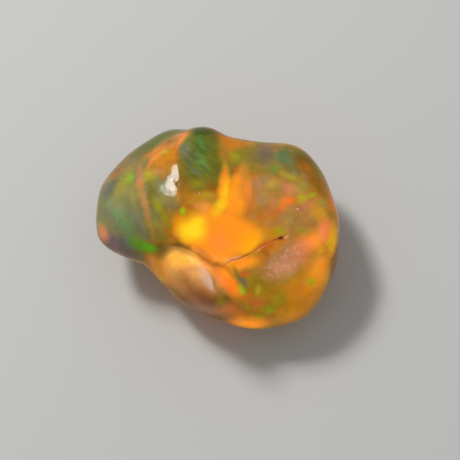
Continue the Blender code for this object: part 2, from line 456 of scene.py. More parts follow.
# %% Colours as seen, red, green and blue
PALETTE = {
    "moss_grey": (118, 116, 70),
    "dark_olive": (84, 87, 40),
    "teal": (102, 136, 104),
    "sage": (134, 134, 82),
    "mauve": (118, 98, 104),
    "umber_grey": (98, 84, 86),
    "leaf": (96, 128, 70),
    "grass": (90, 152, 20),
    "coral": (222, 138, 88),
    "slate": (112, 114, 98),
    "rust": (150, 88, 48),
    "lime": (150, 170, 24),
    "olive": (128, 120, 36),
    "amber": (203, 134, 38),
    "ember": (240, 136, 46),
    "gold": (184, 164, 38),
    "apricot": (196, 134, 72),
    "olive_lime": (150, 142, 18),
    "caramel": (172, 118, 26),
    "moss": (100, 108, 36),
    "olive_gold": (140, 122, 26),
    "dusty": (150, 118, 60),
    "ember_deep": (188, 112, 18),
    "dusty_olive": (135, 116, 48),
    "violet_grey": (110, 96, 78),
    "teal_grey": (90, 116, 72),
    "bark_olive": (98, 76, 18),
    "pink_brown": (172, 120, 56),
    "rose": (192, 122, 76),
    "sage_gold": (180, 152, 62),
    "ember_red": (246, 118, 26),
    "lime_gold": (182, 160, 26),
    "rose_mauve": (191, 115, 74),
    "russet": (187, 106, 45),
    "tan": (214, 152, 38),
    "gold_orange": (255, 187, 20),
    "tangerine_pk": (255, 142, 48),
    "olive_amber": (168, 124, 18),
    "green_gold": (142, 118, 6),
    "amber_gold": (226, 138, 22),
    "tangerine": (254, 150, 26),
    "leaf_lime": (145, 158, 20),
    "rose_tan": (200, 135, 92),
    "marigold": (255, 158, 12),
    "ember_light": (255, 140, 46),
    "apricot_lit": (250, 160, 62),
    "honey": (255, 200, 22),
    "lime_lit": (160, 195, 30),
    # painted light on the top of the lip
    "peach_painted_light": (255, 182, 62),
    # a painted highlight
    "highlight_rose_grey": (170, 130, 98),
    # painted shade on the lower lip
    "shade_umber": (106, 62, 15),
    # painted glow on the tongue
    "ember_painted_glow": (252, 128, 24),
    "red": (212, 84, 34),
    # painted shade on the side
    "side_shade_bark": (126, 66, 10),
    "body_amber": (196, 120, 26),
    "body_olive": (120, 112, 36),
    "body_brown": (120, 72, 18),
    # painted shade in the grooves
    "crack": (104, 58, 14),
    # pale frosting, partly painted glints
    "frost_and_glint": (236, 190, 160),
    "fibre_light": (128, 158, 72),
    "fibre_dark": (62, 84, 34),
    "fleck_lime": (150, 170, 30),
    "fleck_ember": (240, 120, 30),
    "fleck_rose": (205, 130, 100),
    "fleck_teal": (96, 132, 84),
    "fleck_gold": (200, 150, 20),
    "crack_pale": (222, 158, 118),
    "rim_olive": (92, 98, 40),
    "stone_grey": (118, 108, 84),
    "shadow_olive": (96, 80, 28),
    "wedge_orange": (190, 120, 22),
    "moss_deep": (52, 72, 16),
    "leaf_deep": (62, 98, 34),
    "slate_deep": (92, 96, 60),
    "dome_olive": (98, 100, 20),
    "seam_brown": (134, 106, 26),
    "ochre": (196, 142, 34),
    "edge_brown": (138, 94, 6),
    "tan_grey": (168, 134, 84),
    "low_gold": (220, 144, 14),
    "umber_amber": (208, 116, 14),
    "tip_tan": (190, 128, 46),
    "lip_tan": (214, 146, 78),
    "lip_olive": (176, 124, 52),
    "tongue_pink": (250, 138, 62),
    "grass_lit": (92, 170, 16),
    "khaki": (152, 130, 58),
    "wedge_brown": (184, 116, 32),
    "emerald": (70, 132, 64),
    "pine": (66, 100, 56),
    "rose_lit": (240, 142, 78),
    "back_leaf": (108, 140, 56),
    "khaki_dark": (96, 100, 44),
    "mauve_tan": (158, 122, 80),
    "haze_olive": (148, 140, 56),
    "ember_brown": (190, 100, 28),
    "salmon_lit": (255, 140, 76),
    "yellow_olive": (226, 180, 14),
    "salmon_dust": (240, 132, 70),
    "flame_amber": (252, 150, 32),
    # painted light in the heart of the hollow
    "honey_painted_light": (255, 214, 30),
    # painted shade on the lower lip
    "lip_shade_umber": (128, 76, 32),
    # painted shade in a crease
    "crease_shade_brown": (150, 100, 50),
    # painted shade along the crevice
    "crevice_shade_brown": (150, 84, 14),
    # painted glow on the bottom rim
    "tangerine_painted_glow": (255, 148, 20),
    "ochre_deep": (194, 136, 26),
    "seam_grey": (134, 106, 28),
    "ash_green": (122, 118, 84),
    "rust_amber": (196, 94, 24),
    "mustard": (192, 132, 4),
    "fleck_olive": (120, 116, 40),
    "arc_mauve": (178, 124, 84),
    "coral_pink": (216, 128, 74),
    "straw": (156, 144, 54),
    "dusk": (96, 104, 100),
    "plum": (122, 96, 100),
    # a painted reflection
    "reflection_straw": (146, 132, 70),
    "straw_gold": (186, 158, 22),
    "lip_moss": (156, 128, 14),
    "arc_gold": (166, 136, 24),
    "frost_rose": (214, 146, 104),
    "garnet": (112, 38, 12),
    "shoulder_olive": (88, 98, 30),
    # painted light in the hollow
    "marigold_painted_light": (255, 172, 8),
    "spark_lime": (176, 214, 22),
    # painted shade on the hollow's side of the crevice
    "crevice_shade_amber": (200, 118, 14),
    "wing_green": (128, 172, 30),
    "slate_edge": (92, 94, 86),
}
LIT = 1.04


def linear(shade):
    """One screen value as an amount of light."""
    shade /= 255.0
    return shade / 12.92 if shade <= 0.04045 else ((shade + 0.055) / 1.055) ** 2.4


def colour(name, gain=1.0):
    """A colour of the palette as the stone's own, for light this strong."""
    return tuple(min(1.0, gain * linear(shade) / LIT) for shade in PALETTE[name]) + (1.0,)


# %% [markdown]
# ## Where the colours lie
#
# In the real stone most patches of colour are small regions of ordered spheres. Some patches
# here are painted shade, painted glow, a painted highlight or a painted reflection instead, as
# marked below. An image could be projected on the skin, but it would smear on the sides and has
# no depth. Here each patch is a soft egg of colour inside the stone: where the skin passes
# through it, the colour shows. Its place and size were chosen by hand on the enlarged photograph,
# in its pixels, and a small script turned them into millimetres and wrote this list. Each patch is
# dropped on the skin from the view. The lowest layer comes first.

# %% Patches: name, u, v, half length and half width in mm, turn in degrees, colour, strength, edge
PATCHES = (
    # wing
    ("wing", -5.03, 1.23, 3.65, 2.99, 40, "moss_grey", 1.0, 0.55),
    ("wing_back", -5.03, 4.37, 3.43, 1.07, 33, "dark_olive", 0.8, 0.2),
    ("wing_rim", -3.43, 5.11, 2.24, 0.60, 28, "rim_olive", 0.9, 0.15),
    ("wing_haze", -4.86, 3.86, 0.94, 0.47, 35, "stone_grey", 0.7, 0.1),
    ("wing_teal", -5.71, 0.71, 2.03, 1.01, -58, "teal", 0.7, 0.1),
    ("wing_sage", -5.49, 1.63, 1.71, 0.86, 50, "sage", 0.6, 0.1),
    ("wing_front", -5.83, -0.94, 1.87, 0.70, -33, "mauve", 0.85, 0.1),
    ("wing_front_shade", -4.91, -1.51, 1.25, 0.55, -30, "umber_grey", 0.6, 0.1),
    ("wing_leaf", -5.20, 0.03, 1.56, 0.70, -45, "leaf", 0.7, 0.1),
    ("wing_mist", -4.40, 0.26, 1.71, 0.47, -66, "slate", 0.6, 0.1),
    ("wing_smoke", -6.23, 0.49, 1.25, 0.55, -70, "stone_grey", 0.6, 0.1),
    ("wing_khaki", -4.74, 1.97, 1.56, 0.55, -85, "khaki", 0.6, 0.1),
    ("wing_straw", -5.43, 2.43, 1.40, 0.70, 62, "straw", 0.75, 0.1),
    ("wing_dusk", -5.20, -0.89, 0.70, 0.47, -40, "dusk", 0.75, 0.1),
    ("wing_plum", -5.94, -1.17, 0.70, 0.31, -30, "plum", 0.7, 0.1),
    ("wing_tip", -6.51, -0.37, 0.86, 0.47, -68, "coral", 0.85, 0.1),
    ("wing_slate", -6.17, 2.20, 1.17, 0.55, 62, "slate_edge", 0.8, 0.1),
    ("wing_rust", -5.83, 3.11, 0.70, 0.39, 50, "rust", 0.7, 0.1),
    ("wing_lime", -4.97, 2.71, 0.55, 0.39, 80, "wing_green", 0.7, 0.1),
    ("wing_olive", -3.71, 1.97, 1.56, 0.70, -75, "olive", 0.7, 0.1),
    ("wing_foot", -3.43, -0.43, 1.79, 0.75, -50, "olive", 0.85, 0.15),
    ("foot_shade", -3.20, -1.34, 1.34, 0.67, -10, "shadow_olive", 0.9, 0.15),
    ("wing_grass", -4.29, -1.06, 1.40, 0.55, -22, "grass", 0.95, 0.1),
    ("grass_tip", -3.89, -1.17, 0.55, 0.39, -20, "grass_lit", 0.8, 0.1),
    # wedge
    ("wedge", -2.91, 4.09, 1.85, 0.66, 50, "wedge_orange", 1.0, 0.3),
    ("wedge_crest", -2.00, 4.89, 0.96, 0.31, 66, "ember_light", 1.0, 0.25),
    ("wedge_edge", -3.66, 3.80, 1.48, 0.23, 52, "ember", 0.6, 0.1),
    ("wedge_gold", -3.94, 2.89, 0.65, 0.82, 80, "gold", 0.8, 0.05),
    ("wedge_fleck", -3.03, 4.26, 0.31, 0.23, 0, "gold", 0.8, 0.1),
    ("wedge_rose", -3.49, 3.11, 0.39, 0.31, 60, "rose", 0.5, 0.1),
    ("wedge_low", -2.97, 3.11, 0.94, 0.47, 62, "wedge_brown", 0.7, 0.1),
    ("arc_top", -4.40, 2.89, 1.22, 0.37, 95, "arc_mauve", 0.6, 0.05),
    ("arc_coral", -4.34, 2.37, 0.65, 0.33, 95, "coral_pink", 0.7, 0.05),
    ("arc_mid", -4.11, 1.34, 1.47, 0.41, -74, "apricot", 0.75, 0.05),
    ("arc_low", -3.77, 0.03, 1.39, 0.37, -76, "apricot", 0.5, 0.05),
    ("arc_second", -3.31, 0.03, 1.31, 0.29, -62, "straw", 0.6, 0.05),
    ("arc_veil", -4.46, 3.23, 0.70, 0.31, 100, "rose", 0.4, 0.1),
    ("arc_inner", -3.77, 1.74, 1.71, 0.39, -80, "shadow_olive", 0.5, 0.1),
    ("arc_lime", -3.20, 0.83, 1.49, 0.37, -64, "olive_lime", 0.9, 0.15),
    ("arc_violet", -2.86, 1.11, 0.31, 0.23, 0, "violet_grey", 0.6, 0.1),
    ("arc_khaki", -2.97, 1.46, 0.86, 0.47, -60, "khaki", 0.6, 0.1),
    ("arc_smoke", -2.57, 1.23, 0.62, 0.39, -70, "stone_grey", 0.5, 0.1),
    # a painted reflection: the soft blur of the highlight below the triangle
    ("arc_painted_reflection", -2.40, 1.40, 0.78, 0.39, -55, "reflection_straw", 0.75, 0.1),
    ("arc_brown", -2.74, 0.26, 1.01, 0.47, -72, "arc_gold", 0.85, 0.1),
    ("wing_shoulder", -3.94, 4.71, 1.94, 0.67, 38, "rim_olive", 0.9, 0.15),
    ("crest_rim", -2.29, 5.57, 1.56, 0.35, 5, "rim_olive", 0.9, 0.1),
    ("arc_amber", -2.57, 0.54, 0.78, 0.23, -80, "arc_gold", 0.6, 0.1),
    # dome
    ("dome", -1.14, 3.91, 2.36, 1.29, 95, "moss", 1.0, 0.6),
    ("dome_top", -0.86, 5.51, 1.57, 0.64, -14, "moss_deep", 0.95, 0.2),
    ("dome_leaf", -0.86, 4.54, 1.32, 0.70, 108, "leaf_deep", 0.8, 0.1),
    ("dome_leaf_low", -0.86, 3.63, 1.01, 0.47, 140, "leaf", 0.6, 0.1),
    ("dome_dark", -1.60, 3.91, 1.01, 0.62, 70, "slate_deep", 0.75, 0.1),
    ("dome_emerald", -0.97, 4.77, 0.55, 0.23, 125, "emerald", 0.6, 0.1),
    ("dome_teal", -1.20, 4.09, 0.47, 0.31, 130, "pine", 0.6, 0.1),
    ("dome_streak", -1.20, 3.11, 0.70, 0.19, -38, "slate", 0.6, 0.1),
    ("dome_lime", -0.86, 3.69, 0.31, 0.19, 0, "grass", 0.5, 0.1),
    ("dome_right", -0.23, 3.80, 2.24, 0.60, 95, "dome_olive", 0.9, 0.15),
    ("dome_shoulder", -0.34, 4.89, 0.70, 0.62, 0, "shoulder_olive", 0.9, 0.1),
    ("dome_gold", -1.03, 2.43, 1.49, 0.67, 10, "olive_gold", 0.9, 0.15),
    ("under_dome", -0.74, 1.57, 1.64, 0.67, 8, "ochre_deep", 0.9, 0.15),
    ("dome_bark", -0.29, 2.31, 0.55, 0.39, 60, "edge_brown", 0.6, 0.1),
    ("dome_sheen", -1.14, 2.49, 0.70, 0.39, 0, "olive_lime", 0.4, 0.1),
    ("dome_seam", -2.00, 2.94, 1.79, 0.37, 92, "seam_grey", 0.85, 0.15),
    ("dome_ash", -1.89, 4.26, 0.70, 0.47, 60, "ash_green", 0.75, 0.1),
    ("dome_foot", -1.43, 1.57, 1.32, 0.62, 4, "ochre", 0.8, 0.1),
    ("foot_gold", -0.57, 1.69, 0.55, 0.31, 30, "gold", 0.6, 0.1),
    ("foot_orange", -1.66, 1.69, 0.47, 0.31, 0, "wedge_orange", 0.7, 0.1),
    ("foot_tan", -0.63, 1.46, 0.31, 0.23, 0, "tip_tan", 0.5, 0.1),
    ("dome_rose", -1.14, 1.17, 0.39, 0.31, 0, "rose_lit", 0.7, 0.1),
    ("dome_slate", -1.89, 4.54, 0.70, 0.39, 60, "slate", 0.5, 0.1),
    # painted shade in the chip in the fold
    ("fold_notch_shade", -2.29, 2.31, 0.25, 0.11, 88, "shadow_olive", 0.8, 0.2),
    ("back_flame", 0.51, 4.89, 0.78, 0.39, -30, "ember_deep", 0.9, 0.1),
    ("back_glow", 1.43, 4.71, 0.62, 0.31, -20, "ember_deep", 0.6, 0.1),
    # right side, behind
    ("saddle", 1.83, 3.91, 1.59, 1.10, 0, "olive", 1.0, 0.4),
    ("back_lobe", 3.83, 3.51, 2.82, 1.59, -15, "dusty_olive", 1.0, 0.4),
    ("back_edge", 2.4, 5.06, 2.14, 0.36, 0, "dark_olive", 0.8, 0.2),
    ("back_violet", 2.69, 4.20, 1.09, 1.01, 30, "violet_grey", 0.9, 0.1),
    ("back_teal", 3.83, 4.03, 1.17, 0.86, -40, "teal_grey", 1.0, 0.1),
    ("back_green", 3.2, 3.29, 0.55, 0.31, 0, "back_leaf", 0.8, 0.1),
    ("back_brown", 4.97, 3.57, 1.40, 0.94, -55, "bark_olive", 1.0, 0.1),
    ("back_lime", 0.97, 4.03, 0.55, 0.47, 0, "olive_lime", 0.8, 0.1),
    ("back_khaki", 4.23, 4.37, 0.94, 0.47, -20, "khaki_dark", 0.6, 0.1),
    ("back_tan", 1.83, 4.14, 0.86, 0.39, -10, "seam_brown", 0.5, 0.1),
    ("edge_amber", 5.49, 2.66, 2.01, 0.60, -66, "edge_brown", 0.95, 0.15),
    # right face
    ("face", 3.83, 1.06, 2.86, 1.94, -25, "pink_brown", 1.0, 0.5),
    ("face_grey", 2.34, 2.54, 1.01, 0.62, 20, "mauve_tan", 0.85, 0.1),
    ("face_pink", 3.94, 2.20, 1.01, 0.70, -20, "rose", 0.85, 0.1),
    ("face_gold", 3.09, 2.31, 0.62, 0.55, 30, "sage_gold", 0.8, 0.1),
    ("face_tan", 4.23, 2.66, 1.01, 0.31, 10, "olive_gold", 0.7, 0.1),
    ("face_haze", 4.8, 2.31, 0.70, 0.39, 0, "haze_olive", 0.6, 0.1),
    ("face_straw", 4.0, 2.89, 0.94, 0.31, -25, "straw_gold", 0.7, 0.1),
    ("face_sand", 2.34, 1.57, 0.86, 0.62, 0, "tan_grey", 0.6, 0.1),
    ("face_flame", 4.0, 1.46, 0.73, 0.37, 8, "ember_red", 1.0, 0.05),
    ("face_flame_low", 3.66, 1.11, 0.60, 0.34, 70, "ember_red", 0.9, 0.0),
    ("face_lime", 4.74, 1.63, 0.47, 0.39, 20, "lime_gold", 0.9, 0.1),
    ("lime_tip", 5.26, 1.86, 0.39, 0.27, 20, "lime", 0.7, 0.1),
    ("face_mauve", 5.03, 1.17, 0.86, 0.39, 32, "rose_mauve", 0.85, 0.1),
    ("face_brown", 2.17, 0.71, 0.86, 0.94, 60, "caramel", 0.85, 0.1),
    ("face_russet", 3.03, 0.77, 0.70, 0.86, 80, "russet", 0.6, 0.1),
    ("face_ember", 2.34, 0.43, 0.47, 0.31, 30, "ember_brown", 0.6, 0.1),
    ("face_ember_b", 3.09, 0.54, 0.39, 0.47, 0, "ember_brown", 0.6, 0.1),
    ("face_ash", 1.94, 0.66, 0.39, 0.39, 0, "mauve_tan", 0.4, 0.1),
    ("face_olive", 3.31, -0.26, 0.94, 0.47, 0, "mustard", 0.8, 0.1),
    ("face_lime_low", 3.43, -0.26, 0.55, 0.47, 0, "olive_lime", 0.8, 0.1),
    ("face_dust", 4.11, 0.37, 1.09, 0.78, 10, "dusty", 0.75, 0.1),
    ("face_mist", 4.0, 0.26, 0.47, 0.31, 60, "haze_olive", 0.5, 0.1),
    ("face_moss", 4.74, -0.26, 0.62, 0.47, 20, "olive_lime", 0.6, 0.1),
    ("shoulder", 5.77, 0.77, 1.09, 0.78, -60, "tan", 0.85, 0.1),
    ("shoulder_grey", 5.83, 1.34, 0.55, 0.31, -30, "haze_olive", 0.7, 0.1),
    ("rim_orange", 5.43, -0.83, 1.39, 0.98, 25, "tangerine_pk", 0.9, 0.05),
    ("rim_salmon", 6.11, -0.14, 1.01, 0.70, 80, "salmon_lit", 1.0, 0.1),
    ("rim_gold", 6.46, -0.77, 1.56, 0.47, 84, "gold_orange", 1.0, 0.1),
    ("rim_yellow", 6.29, -0.89, 0.39, 0.31, 70, "yellow_olive", 0.9, 0.1),
    ("rim_yellow_b", 5.89, -1.34, 0.39, 0.31, 40, "yellow_olive", 0.6, 0.1),
    ("rim_rose", 4.57, -1.46, 1.32, 1.01, 60, "salmon_dust", 0.8, 0.1),
    # front of the right face
    ("front", 3.31, -3.63, 3.43, 2.01, 15, "olive_amber", 1.0, 0.45),
    ("front_brown", 2.51, -2.37, 1.40, 0.86, 20, "caramel", 0.8, 0.1),
    ("front_green", 2.23, -3.23, 1.17, 0.70, 40, "green_gold", 0.9, 0.1),
    ("front_orange", 4.91, -3.74, 1.71, 1.56, 40, "amber_gold", 0.95, 0.1),
    ("rim_low", 5.71, -2.49, 2.03, 1.17, 70, "tangerine", 0.8, 0.1),
    ("green_a", 2.86, -4.66, 0.49, 0.37, 0, "leaf_lime", 0.95, 0.05),
    ("green_b", 5.2, -3.11, 0.60, 0.51, 0, "lime_gold", 0.95, 0.0),
    ("green_c", 1.54, -4.49, 0.47, 0.31, 0, "leaf_lime", 0.6, 0.1),
    ("green_d", 2.4, -5.06, 0.62, 0.31, 20, "leaf_lime", 0.6, 0.1),
    ("green_e", 3.43, -4.09, 0.86, 0.47, 50, "olive_lime", 0.7, 0.1),
    ("yellow_a", 2.23, -3.51, 0.43, 0.30, 80, "gold", 0.8, 0.0),
    ("brown_a", 2.17, -4.26, 0.86, 0.62, 0, "russet", 0.6, 0.1),
    ("red_a", 1.66, -3.80, 0.51, 0.34, 80, "red", 0.6, 0.0),
    ("red_b", 2.06, -4.26, 0.51, 0.26, 20, "red", 0.5, 0.0),
    ("low_amber", 4.17, -4.83, 1.87, 0.86, 28, "low_gold", 0.95, 0.1),
    # partly painted glow: the thin bottom rim is brightened
    ("bottom_rim", 1.77, -5.46, 1.79, 0.70, -4, "tangerine_painted_glow", 1.0, 0.1),
    ("frosted", 3.77, -1.97, 2.10, 1.17, 38, "rose_tan", 0.9, 0.1),
    ("frost_warm", 3.71, -2.31, 1.17, 0.70, 20, "frost_rose", 0.6, 0.1),
    # hollow: its own yellow and orange, partly painted light where light gathers in it
    ("hollow", 0.06, -0.31, 2.65, 1.48, -10, "tangerine", 1.0, 0.62),
    ("hollow_low", -0.34, -1.29, 2.20, 0.80, -27, "tangerine", 1.0, 0.4),
    ("hollow_front", 1.54, -2.03, 1.42, 0.60, 16, "tangerine", 0.95, 0.15),
    ("hollow_left", -2.06, -0.03, 0.70, 1.02, 10, "marigold", 1.0, 0.35),
    ("hollow_right", 1.94, -0.66, 1.14, 0.79, 0, "marigold", 0.9, 0.2),
    ("hollow_gold", 1.77, -1.17, 1.14, 0.65, 22, "marigold_painted_light", 0.7, 0.05),
    ("hollow_core", 0.06, -0.94, 1.25, 1.09, 90, "ember_light", 0.75, 0.1),
    ("hollow_peach", -0.80, 1.00, 0.78, 0.47, 8, "apricot_lit", 0.8, 0.1),
    ("hollow_honey", -1.43, -0.14, 1.27, 1.19, 60, "honey", 1.0, 0.15),
    ("honey_side", -1.89, -0.31, 0.53, 0.90, 10, "honey", 0.6, 0.05),
    ("honey_core", -1.54, -0.26, 0.82, 0.73, 0, "honey_painted_light", 0.7, 0.05),
    ("honey_top", -1.14, 0.31, 0.55, 0.47, 0, "honey_painted_light", 0.5, 0.1),
    ("flame_foot", 0.91, 1.34, 1.23, 0.96, 60, "tangerine", 1.0, 0.25),
    ("flame_left", 0.34, 2.26, 1.79, 0.46, 86, "tangerine", 0.95, 0.2),
    ("flame_right", 1.2, 2.26, 1.71, 0.71, 78, "flame_amber", 0.95, 0.2),
    ("flame_veil", 1.54, 2.60, 1.17, 0.31, 74, "tip_tan", 0.55, 0.1),
    ("flame_dusk", 1.89, 1.34, 1.17, 0.47, 80, "ember_brown", 0.6, 0.1),
    ("flame_gap", 0.97, 3.11, 0.78, 0.23, 84, "ember_brown", 0.6, 0.1),
    ("flame_red", 1.66, 2.09, 0.94, 0.39, 82, "ember", 0.8, 0.1),
    ("flame_tip", 1.54, 3.23, 0.86, 0.47, 70, "tip_tan", 0.7, 0.1),
    ("flame_honey", 0.46, 1.97, 1.14, 0.37, 80, "honey", 0.85, 0.05),
    ("flame_honey_low", 0.06, 1.11, 0.98, 0.45, 50, "honey", 0.8, 0.05),
    ("flame_gold", 0.91, 2.26, 1.01, 0.31, 84, "marigold", 0.7, 0.1),
    ("flame_join", 0.63, 2.43, 0.62, 0.23, 90, "marigold", 0.6, 0.1),
    ("spark", -1.94, 0.83, 0.34, 0.30, 90, "spark_lime", 1.0, 0.0),
    # front lip
    ("lip", -1.60, -2.89, 2.63, 1.37, -38, "lip_tan", 1.0, 0.5),
    # painted light: the top of the lip is lighter and glows
    ("lip_top_light", -2.00, -1.80, 1.71, 0.75, 2, "peach_painted_light", 1.0, 0.15),
    ("lip_glow", -1.26, -1.80, 0.89, 0.52, -35, "peach_painted_light", 0.8, 0.15),
    # painted shade on the lip's edge beside the crevice, and in its corner by the wing
    ("lip_verge_shade", -1.77, -1.40, 1.17, 0.27, -20, "lip_olive", 0.7, 0.1),
    ("lip_corner_shade", -3.20, -1.63, 0.73, 0.49, 30, "shadow_olive", 0.7, 0.05),
    # painted light along the lip's ridge below the crevice
    ("lip_ridge_light", -0.69, -2.14, 1.32, 0.31, -44, "apricot_lit", 0.7, 0.1),
    ("lip_olive", -1.94, -2.89, 1.32, 0.62, -30, "lip_olive", 0.7, 0.1),
    # a painted highlight where the lamp shows on the lip
    ("lip_painted_highlight", -0.57, -3.11, 1.01, 0.47, -66, "highlight_rose_grey", 0.8, 0.1),
    # painted shade in the crease between the lip and the tongue
    ("lip_crease_shade", -0.23, -3.11, 0.70, 0.19, -64, "crease_shade_brown", 0.8, 0.1),
    # painted shade: the lip darkens towards its lower edge
    ("lip_shade", -0.74, -4.03, 3.27, 1.14, -27, "lip_shade_umber", 1.0, 0.05),
    ("lip_dark_shade", -1.26, -4.77, 3.76, 0.90, -30, "shade_umber", 0.95, 0.05),
    ("low_left", 0.86, -4.71, 1.48, 0.70, -22, "umber_amber", 0.95, 0.1),
    ("lip_left", -3.31, -2.49, 1.09, 0.62, -40, "amber", 0.8, 0.1),
    ("lip_green", 0.23, -4.14, 0.62, 0.39, 80, "lip_moss", 0.9, 0.1),
    ("tongue_salmon", 0.23, -3.00, 1.42, 0.41, -60, "tongue_pink", 0.95, 0.15),
    # partly painted glow: the tongue's orange is brightened
    ("tongue", 0.86, -3.34, 1.79, 0.62, -60, "ember_painted_glow", 0.95, 0.1),
    # painted shade in the fold beside the tongue
    ("tongue_fold_shade", 1.09, -2.60, 0.70, 0.14, -58, "edge_brown", 0.7, 0.1),
    ("tongue_head", 0.34, -2.49, 0.62, 0.39, -50, "tangerine", 0.8, 0.1),
    ("tongue_low", 1.26, -4.26, 0.78, 0.47, -60, "caramel", 0.8, 0.1),
    ("spot_red", 1.54, -2.66, 0.43, 0.30, 0, "red", 0.8, 0.0),
    ("spot_slate", 1.43, -3.00, 0.43, 0.26, -20, "dusk", 0.55, 0.0),
    ("spot_lime", 1.34, -3.51, 0.43, 0.30, -70, "lime_lit", 0.85, 0.0),
    ("spot_blue", 1.6, -3.23, 0.30, 0.26, 0, "dusk", 0.35, 0.0),
    ("crevice_shade_a", -2.17, -1.11, 1.17, 0.31, -12, "shadow_olive", 0.7, 0.1),
    ("fold_olive", -2.91, -0.54, 0.60, 0.51, 0, "olive_gold", 0.8, 0.0),
    # painted shade along the crevice, on both its sides
    ("crevice_shade_b", -0.80, -1.74, 1.09, 0.31, -38, "crevice_shade_brown", 0.7, 0.1),
    ("crevice_shade_far", -0.80, -1.46, 1.22, 0.33, -38, "crevice_shade_amber", 0.8, 0.05),
    ("crevice_shade_c", 0.11, -2.14, 0.70, 0.23, -10, "crevice_shade_brown", 0.6, 0.1),
    ("crack_chip", 0.91, -1.86, 0.55, 0.17, 16, "crack_pale", 0.6, 0.1),
    ("crack_shade", 2.51, -1.17, 2.03, 0.23, 27, "caramel", 0.5, 0.1),
    ("crack_glow", 2.69, -1.06, 1.31, 0.33, 27, "rust_amber", 0.8, 0.05),
    ("crack_lens", 3.8, -0.60, 0.29, 0.11, 20, "crack_pale", 0.8, 0.2),
    # painted shade in the pit near the end of the crack
    ("crack_pit_shade", 3.51, -0.66, 0.29, 0.14, 20, "garnet", 1.0, 0.2),
    # painted glints: two bright pinpoints
    ("glint_left", -1.00, 1.86, 0.07, 0.07, 0, "frost_and_glint", 0.8, 0.3),
    ("glint_right", 4.57, 1.00, 0.09, 0.07, 0, "frost_and_glint", 0.8, 0.3),
    # side, in painted shade: darker below the right rim
    ("side_shade_band", 6.69, -1.91, 2.18, 0.39, 80, "side_shade_bark", 0.8, 0.1),
)

# %% Drop a place on the skin
WELL_OUTSIDE = 20.0
skin_tree = BVHTree.FromPolygons(
    [vert.co for vert in skin_mesh.vertices], [tuple(face.vertices) for face in skin_mesh.polygons]
)


def depth_at(u, v):
    """How near to the eye the skin is at this place in the view, in mm."""
    start = (PLANE_CENTRE + across * u + upward * v + towards_eye * WELL_OUTSIDE) * MM
    hit = skin_tree.ray_cast(start, -towards_eye)[0]
    return in_view(hit)[2] if hit else 0.0


# %% [markdown]
# ## Building the material
#
# One shader can't mix two hundred colours by itself. The colour is one chain of nodes instead:
# each patch covers what the chain has given so far, as glazes do in painting. A node group holds
# the few nodes of a patch, so each patch is one box in the editor.

# %% Helpers for nodes
opal = bpy.data.materials.new("opal")
opal.use_nodes = True
tree = opal.node_tree
shader = tree.nodes["Principled BSDF"]


def add(kind, inputs=None, group=None, **settings):
    """Add a node, set it, and fill its sockets with values or links."""
    holder = group or tree
    made = holder.nodes.new(kind)
    for key, value in settings.items():
        setattr(made, key, value)
    for key, value in (inputs or {}).items():
        if isinstance(value, bpy.types.NodeSocket):
            holder.links.new(value, made.inputs[key])
        else:
            made.inputs[key].default_value = value
    return made


def blend(factor, under, over, group=None, mode="MIX"):
    """Lay one colour over another by this factor."""
    made = add(
        "ShaderNodeMix",
        {0: factor, 6: under, 7: over},
        group,
        data_type="RGBA",
        blend_type=mode,
        clamp_factor=True,
    )
    return made.outputs[2]


def maths(kind, first, second=0.0, group=None):
    """One sum on numbers, kept between nought and one."""
    made = add("ShaderNodeMath", {0: first, 1: second}, group, operation=kind, use_clamp=True)
    return made.outputs[0]


def ramp(value, low, high, start=0.0, end=1.0, group=None):
    """A smooth slope from start to end as the value goes from low to high."""
    sockets = {"Value": value, "From Min": low, "From Max": high, "To Min": start, "To Max": end}
    return add("ShaderNodeMapRange", sockets, group, interpolation_type="SMOOTHSTEP").outputs[0]


# %% The group for one patch
egg = bpy.data.node_groups.new("soft_patch", "ShaderNodeTree")
for socket_name, kind in (
    ("Point", "NodeSocketVector"),
    ("Under", "NodeSocketColor"),
    ("Colour", "NodeSocketColor"),
    ("Centre", "NodeSocketVector"),
    ("Turn", "NodeSocketVector"),
    ("Size", "NodeSocketVector"),
    ("Softness", "NodeSocketFloat"),
    ("Strength", "NodeSocketFloat"),
):
    egg.interface.new_socket(socket_name, in_out="INPUT", socket_type=kind)
egg.interface.new_socket("Colour", in_out="OUTPUT", socket_type="NodeSocketColor")
egg.interface.new_socket("Cover", in_out="OUTPUT", socket_type="NodeSocketFloat")
given = egg.nodes.new("NodeGroupInput").outputs
egg_place = {"Vector": "Point", "Location": "Centre", "Rotation": "Turn", "Scale": "Size"}
inside = add(
    "ShaderNodeMapping",
    {key: given[own] for key, own in egg_place.items()},
    egg,
    vector_type="TEXTURE",
).outputs[0]
ball = add("ShaderNodeTexGradient", {"Vector": inside}, egg, gradient_type="SPHERICAL")
soft = ramp(ball.outputs["Fac"], 0.0, given["Softness"], group=egg)
cover = maths("MULTIPLY", soft, given["Strength"], egg)
shown = blend(cover, given["Under"], given["Colour"], egg)
add("NodeGroupOutput", {"Colour": shown, "Cover": cover}, egg)

# %% [markdown]
# ## Coordinates
#
# The colour of a stone goes right through it, so it has to depend on the place in the stone and
# not on a flat map of its skin. Object coordinates give that. They are turned to the drawing
# plane once, in millimetres. Two noises then push every point about a little, so no patch keeps
# the outline of an egg.

# %% The point on the drawing plane, wandering a little
in_stone = add("ShaderNodeTexCoord").outputs["Object"]
shift = -Vector([PLANE_CENTRE.dot(axis) for axis in (across, upward, towards_eye)])
plane = add(
    "ShaderNodeMapping",
    {
        "Vector": in_stone,
        "Location": shift,
        "Rotation": (ELEVATION - pi / 2, 0.0, 0.0),
        "Scale": (1 / MM,) * 3,
    },
    vector_type="POINT",
).outputs[0]


